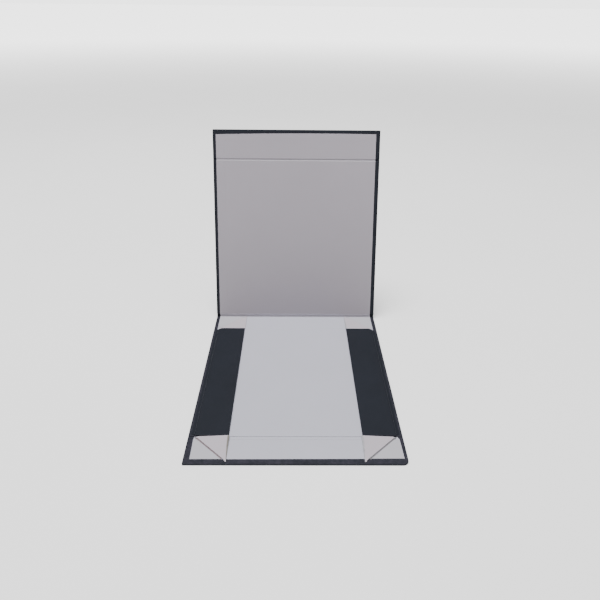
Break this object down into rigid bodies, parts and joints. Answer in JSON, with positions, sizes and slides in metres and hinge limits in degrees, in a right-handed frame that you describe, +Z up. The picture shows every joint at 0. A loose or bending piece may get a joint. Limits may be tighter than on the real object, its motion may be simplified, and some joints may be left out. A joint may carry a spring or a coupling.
{
  "type": "collapsible gift box",
  "caption": "Paper-covered board box that folds flat, with inward folding side walls, corner gussets, lid and magnetic flap.",
  "frame": {"origin": "centre of the base's underside, on the table", "axes": "+X to the right, +Y from the front wall to the lid, +Z up"},
  "size_m": [0.23, 0.3416, 0.2717],
  "materials": {
    "navy_paper": "matt textured covering paper",
    "liner_paper": "smooth uncoated lining paper",
    "gusset_paper": "smooth uncoated paper",
    "kraft_card": "brown kraft card",
    "greyboard": "grey chipboard",
    "steel": "plated discs"
  },
  "bodies": {
    "base": {"base_board": "greyboard", "base_cover": "navy_paper", "base_liner": "liner_paper", "left_wall_tab": "navy_paper", "right_wall_tab": "navy_paper", "front_hinge_cover": "navy_paper", "front_hinge_liner": "liner_paper", "back_hinge_cover": "navy_paper", "back_hinge_liner": "liner_paper"},
    "front_wall": {"front_wall_board": "greyboard", "front_wall_cover": "navy_paper", "front_wall_liner": "liner_paper", "front_wall_keepers": "steel", "front_left_gusset_anchor": "gusset_paper", "front_right_gusset_anchor": "gusset_paper"},
    "back_wall": {"back_wall_board": "greyboard", "back_wall_cover": "navy_paper", "back_wall_liner": "liner_paper", "rear_left_gusset_anchor": "gusset_paper", "rear_right_gusset_anchor": "gusset_paper"},
    "left_wall": {"left_wall_board": "greyboard", "left_wall_cover": "navy_paper", "left_wall_lining": "liner_paper"},
    "right_wall": {"right_wall_board": "greyboard", "right_wall_cover": "navy_paper", "right_wall_lining": "liner_paper"},
    "spine": {"spine_cover": "navy_paper", "spine_liner": "liner_paper"},
    "lid": {"lid_board": "greyboard", "lid_cover": "navy_paper", "lid_liner": "liner_paper", "flap_hinge_cover": "navy_paper", "flap_hinge_liner": "liner_paper"},
    "flap": {"flap_board": "greyboard", "flap_cover": "navy_paper", "flap_liner": "liner_paper", "flap_magnets": "steel"},
    "front_left_gusset": {"front_left_gusset_card": "kraft_card", "front_left_gusset_paper": "gusset_paper"},
    "front_right_gusset": {"front_right_gusset_card": "kraft_card", "front_right_gusset_paper": "gusset_paper"},
    "rear_left_gusset": {"rear_left_gusset_card": "kraft_card", "rear_left_gusset_paper": "gusset_paper"},
    "rear_right_gusset": {"rear_right_gusset_card": "kraft_card", "rear_right_gusset_paper": "gusset_paper"}
  },
  "joints": [
    {"name": "front_wall_fold", "type": "hinge", "parent": "base", "child": "front_wall", "pos_m": [0, -0.1119, 0.001], "axis": [-1, 0, 0], "range_deg": [0, 90], "deforming": ["front_hinge_cover", "front_hinge_liner", "back_hinge_cover", "back_hinge_liner"]},
    {"name": "back_wall_fold", "type": "hinge", "parent": "base", "child": "back_wall", "pos_m": [0, 0.1119, 0.001], "axis": [1, 0, 0], "range_deg": [0, 90]},
    {"name": "left_wall_fold", "type": "hinge", "parent": "base", "child": "left_wall", "pos_m": [-0.1088, 0, 0.0028], "axis": [0, -1, 0], "range_deg": [0, 90]},
    {"name": "right_wall_fold", "type": "hinge", "parent": "base", "child": "right_wall", "pos_m": [0.1088, 0, 0.0028], "axis": [0, 1, 0], "range_deg": [0, 90]},
    {"name": "spine_fold", "type": "hinge", "parent": "back_wall", "child": "spine", "pos_m": [0, 0.1466, 0.0003], "axis": [-1, 0, 0], "range_deg": [0, 80.1]},
    {"name": "lid_open", "type": "hinge", "parent": "spine", "child": "lid", "pos_m": [0, 0.14773, 0.0067], "axis": [1, 0, 0], "range_deg": [-80.5, 89.5]},
    {"name": "flap_fold", "type": "hinge", "parent": "lid", "child": "flap", "pos_m": [0, 0.18541, 0.23187], "axis": [1, 0, 0], "range_deg": [0, 90], "deforming": ["flap_hinge_cover", "flap_hinge_liner"]},
    {"name": "front_left_gusset_fold", "type": "hinge", "parent": "front_wall", "child": "front_left_gusset", "pos_m": [-0.1088, -0.1104, 0.0031], "axis": [0.7071, -0.7071, 0], "range_deg": [0, 175.6], "deforming": ["front_left_gusset_card", "front_left_gusset_paper"]},
    {"name": "front_right_gusset_fold", "type": "hinge", "parent": "front_wall", "child": "front_right_gusset", "pos_m": [0.1088, -0.1104, 0.0031], "axis": [0.7071, 0.7071, 0], "range_deg": [0, 175.6], "deforming": ["front_right_gusset_card", "front_right_gusset_paper"]},
    {"name": "rear_left_gusset_fold", "type": "hinge", "parent": "back_wall", "child": "rear_left_gusset", "pos_m": [-0.1088, 0.1104, 0.0031], "axis": [-0.7071, -0.7071, 0], "range_deg": [0, 175.6], "deforming": ["rear_left_gusset_card", "rear_left_gusset_paper"]},
    {"name": "rear_right_gusset_fold", "type": "hinge", "parent": "back_wall", "child": "rear_right_gusset", "pos_m": [0.1088, 0.1104, 0.0031], "axis": [-0.7071, 0.7071, 0], "range_deg": [0, 175.6], "deforming": ["rear_right_gusset_card", "rear_right_gusset_paper"]}
  ],
  "couplings": [
    {"joint": "back_wall_fold", "follows": "front_wall_fold", "ratio": 1},
    {"joint": "left_wall_fold", "follows": "front_wall_fold", "ratio": 1},
    {"joint": "right_wall_fold", "follows": "front_wall_fold", "ratio": 1},
    {"joint": "spine_fold", "follows": "front_wall_fold", "ratio": 0.88889},
    {"joint": "front_left_gusset_fold", "follows": "front_wall_fold", "ratio": 1.95},
    {"joint": "front_right_gusset_fold", "follows": "front_wall_fold", "ratio": 1.95},
    {"joint": "rear_left_gusset_fold", "follows": "front_wall_fold", "ratio": 1.95},
    {"joint": "rear_right_gusset_fold", "follows": "front_wall_fold", "ratio": 1.95}
  ]
}
